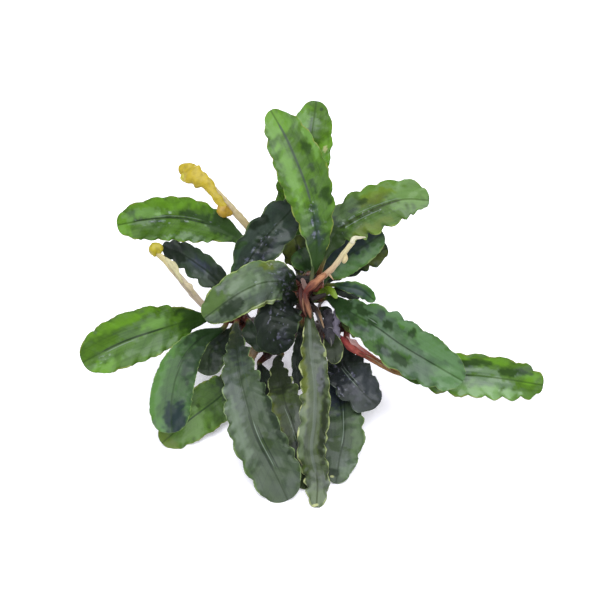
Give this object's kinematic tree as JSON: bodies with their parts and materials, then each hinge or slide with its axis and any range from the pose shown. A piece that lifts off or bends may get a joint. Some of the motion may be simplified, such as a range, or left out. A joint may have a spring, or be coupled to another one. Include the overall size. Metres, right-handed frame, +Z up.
{
  "type": "aquarium plant",
  "caption": "Bare-root bucephalandra: a creeping rhizome with upright leafy shoots, glossy dark green ruffled leaves on red stalks, and a few yellowed ones.",
  "frame": {"origin": "on the surface that the plant lies on, at the flat underside of the rhizome, below the middle of its tallest shoot's foot", "axes": "+Z up from the surface, +X along the creeping rhizome and the plant's longest reach, +Y away from the viewer, so the long hanging leaves point to -Y"},
  "size_m": [0.1126, 0.0924, 0.0539],
  "materials": {
    "leaf_bright": "glossy wet leaf, bright green with a pale margin",
    "leaf_green": "glossy wet leaf, mid green",
    "leaf_dark": "glossy wet leaf, dark green",
    "leaf_olive": "satin leaf, olive green",
    "leaf_grey": "satin leaf, grey green",
    "leaf_yellow": "rotted yellow flesh on a pale stalk",
    "stalk_bare": "bare stalk, red at its foot and cream above",
    "sheath_green": "thin yellow-green sheath",
    "sheath_dry": "dry brown sheath",
    "stem": "ringed stem, purplish grey-brown",
    "root": "thin brown root"
  },
  "bodies": {
    "root": {"leaf_back_tall": "leaf_bright", "leaf_back_second": "leaf_bright", "leaf_back_left": "leaf_dark", "leaf_left_upper": "leaf_bright", "leaf_right_upper": "leaf_green", "leaf_right_cupped": "leaf_dark", "leaf_right_under": "leaf_dark", "leaf_right_long": "leaf_green", "leaf_far_right": "leaf_bright", "leaf_far_left": "leaf_bright", "leaf_centre_left": "leaf_green", "leaf_centre_low": "leaf_dark", "leaf_dark_behind": "leaf_dark", "leaf_left_inner": "leaf_olive", "leaf_left_arched": "leaf_dark", "leaf_left_floor": "leaf_bright", "leaf_left_drooping": "leaf_grey", "leaf_front_left": "leaf_grey", "leaf_front_middle": "leaf_olive", "leaf_front_hidden": "leaf_dark", "leaf_front_long": "leaf_olive", "leaf_front_right_dark": "leaf_grey", "leaf_front_right": "leaf_grey", "leaf_small_round": "leaf_dark", "leaf_small_centre": "leaf_dark", "leaf_small_green": "leaf_green", "leaf_small_dark": "leaf_dark", "leaf_left_back": "leaf_dark", "leaf_inner_olive": "leaf_olive", "leaf_inner_green": "leaf_green", "leaf_young_curled": "leaf_green", "leaf_young_under": "leaf_grey", "stalk_bare": "stalk_bare", "leaf_yellow_upper": "leaf_yellow", "leaf_yellow_lower": "leaf_yellow", "sheath_green": "sheath_green", "sheath_right": "sheath_dry", "sheath_front": "sheath_dry", "rhizome": "stem", "shoot_centre": "stem", "shoot_left": "stem", "shoot_right": "stem", "shoot_front": "stem", "root_back_left": "root", "root_back": "root", "root_back_right": "root"}
  },
  "joints": []
}
